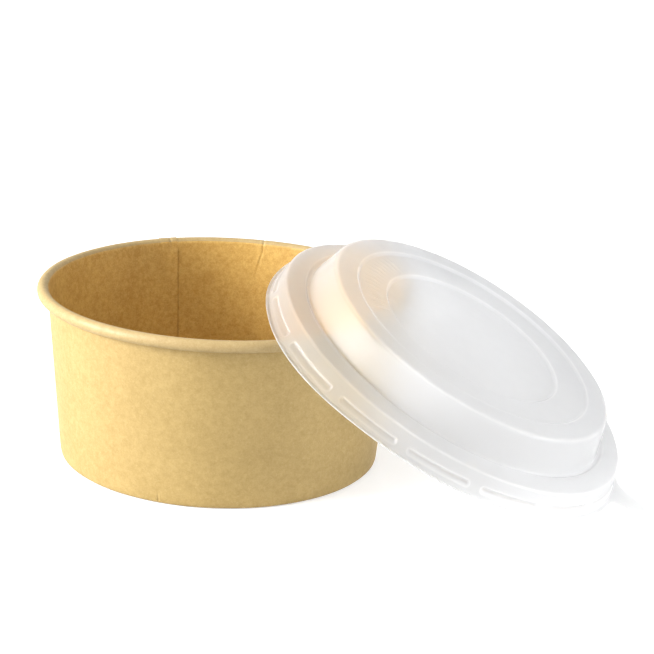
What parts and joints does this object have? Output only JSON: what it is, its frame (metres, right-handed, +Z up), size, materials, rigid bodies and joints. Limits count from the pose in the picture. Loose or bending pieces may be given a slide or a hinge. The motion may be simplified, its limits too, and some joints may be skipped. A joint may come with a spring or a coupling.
{
  "type": "paper salad bowl with lid",
  "caption": "Round kraft paperboard salad bowl with a rolled rim, its milky translucent domed plastic lid leaning on the rim and standing on its pull tab.",
  "frame": {"origin": "on the table, under the middle of the box round the bowl and its lid", "axes": "+X from the bowl towards the lid, +Y away from the picture's viewer, +Z up"},
  "size_m": [0.2428, 0.1882, 0.093],
  "materials": {
    "kraft_board": "uncoated kraft outside, thin clear lining inside",
    "kraft_base": "uncoated kraft with a thin clear lining",
    "lid_plastic": "milky translucent thin sheet plastic"
  },
  "bodies": {
    "root": {"bowl_wall": "kraft_board", "bowl_base": "kraft_base", "lid": "lid_plastic"}
  },
  "joints": []
}
